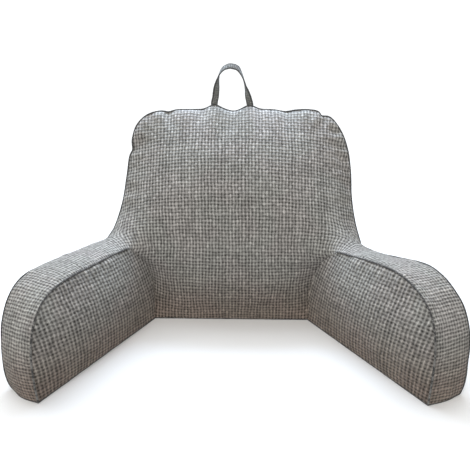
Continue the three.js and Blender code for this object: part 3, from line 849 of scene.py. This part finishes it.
# %% A socket that can be added and multiplied
class Amount:
    def __init__(self, finish, socket):
        self.finish, self.socket = finish, socket

    def math(self, operation, *others):
        return self.finish.node("ShaderNodeMath", {"operation": operation}, self, *others)

    def __add__(self, other):
        return self.math("ADD", other)

    def __sub__(self, other):
        return self.math("SUBTRACT", other)

    def __rsub__(self, other):
        return self.finish.node("ShaderNodeMath", {"operation": "SUBTRACT"}, other, self)

    def __mul__(self, other):
        return self.math("MULTIPLY", other)

    def __truediv__(self, other):
        return self.math("DIVIDE", other)

    __radd__ = __add__
    __rmul__ = __mul__


class Finish:
    """One material; node() adds any node: its type, its settings, then its inputs in order."""

    def __init__(self, name):
        self.material = bpy.data.materials.new(name)
        self.material.use_nodes = True
        self.tree = self.material.node_tree
        self.shader = self.tree.nodes["Principled BSDF"]

    def node(self, kind, settings=None, *inputs, output=0, **named):
        node = self.tree.nodes.new(kind)
        for key, value in (settings or {}).items():
            if key == "stops":
                for element, (place, colour) in zip(node.color_ramp.elements, value):
                    element.position, element.color = place, (*colour, 1)
            else:
                setattr(node, key, value)
        wanted = [(node.inputs[k], value) for k, value in enumerate(inputs)]
        wanted += [(node.inputs[key.replace("_", " ")], value) for key, value in named.items()]
        for socket, value in wanted:
            self.put(socket, value)
        return Amount(self, node.outputs[output])

    def put(self, socket, value):
        if isinstance(value, Amount):
            self.tree.links.new(value.socket, socket)
        elif value is not None:
            socket.default_value = value

    def set(self, **named):
        for key, value in named.items():
            self.put(self.shader.inputs[key.replace("_", " ")], value)

    def split(self, vector):
        return [self.node("ShaderNodeSeparateXYZ", None, vector, output=k) for k in range(3)]

    def join(self, x, y, z=0.0):
        return self.node("ShaderNodeCombineXYZ", None, x, y, z)

    def noise(self, vector, scale, detail=2.0, output=0):
        return self.node("ShaderNodeTexNoise", None, output=output,
                         Vector=vector, Scale=scale, Detail=detail)

    def random(self, x, y):
        return self.node("ShaderNodeTexWhiteNoise", {"noise_dimensions": "2D"}, self.join(x, y))

    def step(self, value, low, high):
        """0 below low, 1 above high, smooth between."""
        settings = {"interpolation_type": "SMOOTHSTEP", "clamp": True}
        return self.node("ShaderNodeMapRange", settings, value, low, high, 0.0, 1.0)

    def blend(self, share, first, second, kind="MIX"):
        settings = {"data_type": "RGBA", "blend_type": kind, "clamp_factor": True}
        node = self.tree.nodes.new("ShaderNodeMix")
        for key, value in settings.items():
            setattr(node, key, value)
        for key, value in ((0, share), (6, first), (7, second)):
            self.put(node.inputs[key], value)
        return Amount(self, node.outputs[2])

    def grey(self, value):
        return self.node("ShaderNodeCombineColor", None, value, value, value)

    def bump(self, height, distance, strength=1.0):
        return self.node("ShaderNodeBump", None, Height=height, Distance=distance, Strength=strength)


# %% [markdown]
# ## The tweed
# Close up the tweed is a net of thick pale yarns over a dark ground. Six millimetres apart, the
# gaps show as dim lines both ways, with a dark dot where they cross, and each yarn has a pale
# crest along its middle. Hand-like unevenness makes it lively: yarns swell and thin, wander and
# differ in tone, and here and there a gap is bridged, so that two or three floats run
# together. The weave is painted paler, with less contrast, where it rolls over the top, a painted
# highlight for the light that falls there, and it is painted darker and browner near the floor, as
# painted shade and warm light thrown back from the floor. Every number below is a share of one repeat.

# %% Tweed from its flat place
REPEAT_ACROSS, REPEAT_UP = 0.0060, 0.00645
YARN_WIDTH, YARN_SPREAD, WARP_DIM, WEFT_DIM = 0.66, 0.24, 0.52, 0.38
# heights in metres that bound painted light: a painted highlight on the top strip, and painted shade with
# warm bounce light at the foot
PAINTED_TOP_LIGHT_FROM, PAINTED_TOP_LIGHT_TO, PAINTED_BOUNCE_TO = 0.33, 0.375, 0.14
# the last colour is painted light: it darkens and warms the foot as painted shade and warm light thrown
# back from the floor
PALE, DARK, PAINTED_BOUNCE_TINT = (0.392, 0.383, 0.368, 1), (0.040, 0.038, 0.034, 1), (0.60, 0.47, 0.39, 1)
GREENISH, PINKISH = (0.985, 1.0, 0.988, 1), (1.012, 0.995, 0.994, 1)


def yarns(finish, place, other, dimness, seed):
    """One set of parallel yarns: their number, the gaps between them, how light these look, the
    pale crest along their middle, height and tone."""
    number = place.math("FLOOR")
    across = (place - number - 0.5).math("ABSOLUTE")
    own = finish.random(number + seed, 3.5)
    slub = finish.noise(finish.join(number * 7.31 + seed, other * 0.7), 1.0, 2.0) - 0.5
    half_width = 0.5 * (YARN_WIDTH + YARN_SPREAD * (own - 0.5) + 1.2 * YARN_SPREAD * slub)
    gap = finish.step(across - half_width, -0.10, 0.12)
    bridge = finish.random((place + 0.5).math("FLOOR") + seed, other.math("FLOOR") + 0.5)
    shade = gap * dimness * (0.35 + 0.65 * finish.step(bridge, 0.0, 0.9))
    worn = finish.random(number + seed + 3.0, other.math("FLOOR") + 0.25)
    crest = (1 - finish.step(across, 0.03, 0.21)) * (0.25 + 0.75 * worn)
    round_top = 1 - (across / (half_width + 0.1)).math("MINIMUM", 1.0).math("POWER", 2.0)
    tone = 0.93 + 0.14 * own + 0.5 * slub
    return number, gap, 1 - shade, crest, round_top, tone


def tweed(name, pale=PALE, dark=DARK, repeat=(REPEAT_ACROSS, REPEAT_UP), painted_bounce=0.85, girth=0):
    """The tweed, with a share of painted shade and warm bounce light at its foot; on a strap its folded
    edges are dark, girth being half the way round it.
    """
    cloth = Finish(name)
    flat = cloth.node("ShaderNodeUVMap", {"uv_map": "cloth"})
    u, v, _ = cloth.split(flat)
    x, y = u / repeat[0], v / repeat[1]
    wander = cloth.split(cloth.noise(cloth.join(x, y), 0.22, 2.0, output=1))
    x, y = x + 0.7 * (wander[0] - 0.5), y + 0.6 * (wander[1] - 0.5)
    warp_n, warp_gap, warp, warp_crest, warp_top, warp_tone = yarns(cloth, x, y, WARP_DIM, 0.0)
    weft_n, weft_gap, weft, weft_crest, weft_top, weft_tone = yarns(cloth, y, x, WEFT_DIM, 40.0)
    crests = warp_crest.math("MAXIMUM", 0.7 * weft_crest)
    chance = cloth.random((x + 0.5).math("FLOOR") + 9.0, (y + 0.5).math("FLOOR"))
    hole = warp_gap * weft_gap * (0.15 + 0.85 * chance)
    over = (((warp_n + weft_n) / 2.0).math("FRACT")).math("GREATER_THAN", 0.25)
    tone = over * warp_tone + (1 - over) * weft_tone
    fibres = cloth.noise(cloth.join(x * 9.0, y * 9.0), 1.0, 3.0)
    float_tone = cloth.random(warp_n * 1.7 + 5.0, weft_n * 1.3)
    patch = 0.82 + 0.18 * cloth.step(float_tone, 0.0, 0.6)
    height = cloth.split(cloth.node("ShaderNodeTexCoord", output=3))[2]
    # painted highlight: above this height the weave is painted paler and less contrasty, for the light
    # that falls on the top strip
    painted_top_light = cloth.step(height, PAINTED_TOP_LIGHT_FROM, PAINTED_TOP_LIGHT_TO)
    darkness = 1 - warp * weft * (1 - 0.92 * hole) * patch
    colour = cloth.blend(darkness * (1 - 0.45 * painted_top_light), pale, dark)
    broad = cloth.noise(cloth.join(u, v), 9.0, 2.0)
    speck = cloth.random((x * 2.0).math("FLOOR") + 0.5, (y * 2.0).math("FLOOR"))
    tone = tone * (0.84 + 0.32 * fibres) * (0.94 + 0.12 * broad) * (0.86 + 0.28 * speck)
    tone = tone * (0.72 + 0.78 * crests)
    hue = cloth.step(cloth.noise(cloth.join(u, v), 14.0, 1.0), 0.4, 0.6)
    colour = cloth.blend(1.0, colour, cloth.blend(hue, GREENISH, PINKISH), "MULTIPLY")
    colour = cloth.blend(1.0, colour, cloth.grey(tone), "MULTIPLY")
    if girth:
        fold = ((v / girth).math("FRACT") - 0.5).math("ABSOLUTE")
        colour = cloth.blend(0.65 * cloth.step(fold, 0.2, 0.36), colour, dark)
    # painted shade and painted warm bounce light: the colour is darkened and browned towards the floor
    painted_bounce_share = 1 - cloth.step(height, 0.0, PAINTED_BOUNCE_TO)
    colour = cloth.blend(painted_bounce_share * painted_bounce, colour, cloth.blend(1.0, colour, PAINTED_BOUNCE_TINT, "MULTIPLY"))
    lift = warp * weft * (over * warp_top + (1 - over) * weft_top) + 0.15 * fibres
    cloth.set(Base_Color=colour, Roughness=0.93, Specular_IOR_Level=0.18, Sheen_Weight=0.15,
              Sheen_Roughness=0.5, Normal=cloth.bump(lift, 0.0011, 0.8))
    return cloth


def dress(piece, finish):
    piece.data.materials.clear()
    piece.data.materials.append(finish.material)


cover_tweed = tweed("cover_tweed")
dress(pillow_cover, cover_tweed)
print("tweed has", len(cover_tweed.tree.nodes), "nodes")

# %% [markdown]
# ## Cord, strap and thread
# The welt is the dark side of the same cloth, wound so tight that only its twill and a few pale
# flecks show. The strap is the tweed again, darker because it is folded with its dark side out
# and handled most, and its thread is nearly black.

# %% Materials of the small pieces
def cord_cloth(name, dark, pale, ply, fade=0.0):
    """Twisted cord; fade makes it paler in spots below a set height."""
    cord = Finish(name)
    u, v, _ = cord.split(cord.node("ShaderNodeUVMap", {"uv_map": "cloth"}))
    place = u / ply + v / (ply * 1.4)
    number = place.math("FLOOR")
    ridge = 1 - ((place - number - 0.5).math("ABSOLUTE") * 2.0).math("POWER", 2.0)
    fleck = cord.step(cord.random(number, (v / ply).math("FLOOR")), 0.72, 0.8)
    fuzz = cord.noise(cord.join(u, v), 1400.0, 2.0)
    height = cord.split(cord.node("ShaderNodeTexCoord", output=3))[2]
    worn = cord.step(cord.noise(cord.join(u, v * 0.3), 170.0, 1.0), 0.40, 0.60)
    lower = fade * (1 - cord.step(height, 0.13, 0.165))
    share = 0.55 * fleck * ridge + 0.25 * fuzz + lower * worn * (0.4 + 0.6 * ridge)
    colour = cord.blend(share, dark, pale)
    cord.set(Base_Color=colour, Roughness=0.9, Specular_IOR_Level=0.2, Sheen_Weight=0.15,
             Normal=cord.bump(ridge + 0.4 * fuzz, 0.0004, 0.8))
    return cord


CORD_DARK, CORD_PALE = (0.035, 0.035, 0.036, 1), (0.26, 0.255, 0.245, 1)
welt_cloth = cord_cloth("welt_cloth", CORD_DARK, CORD_PALE, 0.0016)
for welt in welts:
    dress(welt, welt_cloth)
arm_welt_cloth = cord_cloth("arm_welt_cloth", CORD_DARK, CORD_PALE, 0.0028, fade=0.75)
for cord in arm_cords:
    dress(cord, arm_welt_cloth)

STRAP_PALE, STRAP_DARK, STRAP_REPEAT = (0.26, 0.26, 0.25, 1), (0.035, 0.034, 0.033, 1), 0.0032
half_girth = np.linalg.norm(np.roll(section, -1, axis=0) - section, axis=1).sum() / 2 * MM
strap_tweed = tweed(
    "strap_tweed", STRAP_PALE, STRAP_DARK, (STRAP_REPEAT, STRAP_REPEAT), 0.0, float(half_girth)
)
dress(carry_loop, strap_tweed)

thread = Finish("stitch_thread")
spin = thread.noise(thread.node("ShaderNodeTexCoord", output=3), 900.0, 2.0)
thread.set(Base_Color=thread.blend(spin, (0.03, 0.03, 0.032, 1), (0.09, 0.09, 0.09, 1)), Roughness=0.7,
           Normal=thread.bump(spin, 0.0002, 0.6))
dress(strap_stitches, thread)

# %% [markdown]
# ## Floor, light and camera
# The pillow was photographed on white under soft daylight that falls from above and a little
# from behind, so its top edges are pale and cool and its foot is dim. A bright even world fills
# the front, a wide cool sky light comes from over it, and a small lamp close over the top seam
# stands for the window there. The floor throws no light back, or it would wash out the creases.
# The camera looks down by 22 degrees.

# %% Floor and lights
def stand(name, data, at, ahead):
    """Puts a lamp or the camera in the room, looking ahead."""
    thing = bpy.data.objects.new(name, data)
    bpy.context.collection.objects.link(thing)
    thing.location = at
    thing.rotation_euler = Vector(ahead).to_track_quat("-Z", "Y").to_euler()
    return thing


def add_light(name, come_from, spread, strength, colour):
    """Daylight from one side, as soft as its spread in degrees."""
    data = bpy.data.lights.new(name, "SUN")
    data.angle, data.energy, data.color = math.radians(spread), strength, colour
    stand(name, data, come_from, -Vector(come_from))


FLOOR_HALF = 20
floor_corners = [(x * FLOOR_HALF, y * FLOOR_HALF, 0) for x, y in ((-1, -1), (1, -1), (1, 1), (-1, 1))]
floor = mesh_object("floor", floor_corners, [(0, 1, 2, 3)], smooth=False)
floor.visible_diffuse = False
floor_paint = Finish("floor_paint")
haze = floor_paint.noise(floor_paint.node("ShaderNodeTexCoord", output=3), 3.0, 2.0)
floor_grey = floor_paint.blend(haze, (0.88, 0.88, 0.88, 1), (0.90, 0.90, 0.90, 1))
floor_paint.set(Base_Color=floor_grey, Roughness=0.95, Specular_IOR_Level=0.1)
dress(floor, floor_paint)

scene = bpy.context.scene
scene.view_settings.view_transform = "Standard"
world = bpy.data.worlds.new("daylight")
world.use_nodes = True
sky = world.node_tree.nodes["Background"].inputs
sky["Color"].default_value, sky["Strength"].default_value = (1.0, 0.99, 0.97, 1), 0.56
scene.world = world
add_light("sky_light", (-0.2, 0.55, 1.0), 60, 1.9, (0.88, 0.94, 1.0))
add_light("front_light", (-0.2, -0.8, 0.9), 30, 1.15, (1.0, 0.97, 0.93))
window = bpy.data.lights.new("window_light", "AREA")
window.shape, window.size, window.size_y = "RECTANGLE", 0.7, 0.15
window.energy, window.color = 4.2, (0.66, 0.80, 1.0)
stand("window_light", window, (-0.03, 0.36, 0.68), (0, -0.2, -0.5)).visible_camera = False

# %% Camera
CAMERA_TARGET, CAMERA_DISTANCE, CAMERA_DOWN, CAMERA_FOCUS = (0, 0, 180), 1600, 22, 900
PHOTO_SIDE, SENSOR = 470, 36
camera_data = bpy.data.cameras.new("camera")
camera_data.sensor_width = SENSOR
camera_data.lens = CAMERA_FOCUS / PHOTO_SIDE * SENSOR
camera_data.clip_end = 50
down = math.radians(CAMERA_DOWN)
back = np.array([0, -math.cos(down), math.sin(down)])
camera_place = to_frame(np.array(CAMERA_TARGET) + CAMERA_DISTANCE * back)
scene.camera = stand("camera", camera_data, camera_place, -back)
print("camera at", [round(c, 3) for c in scene.camera.location])
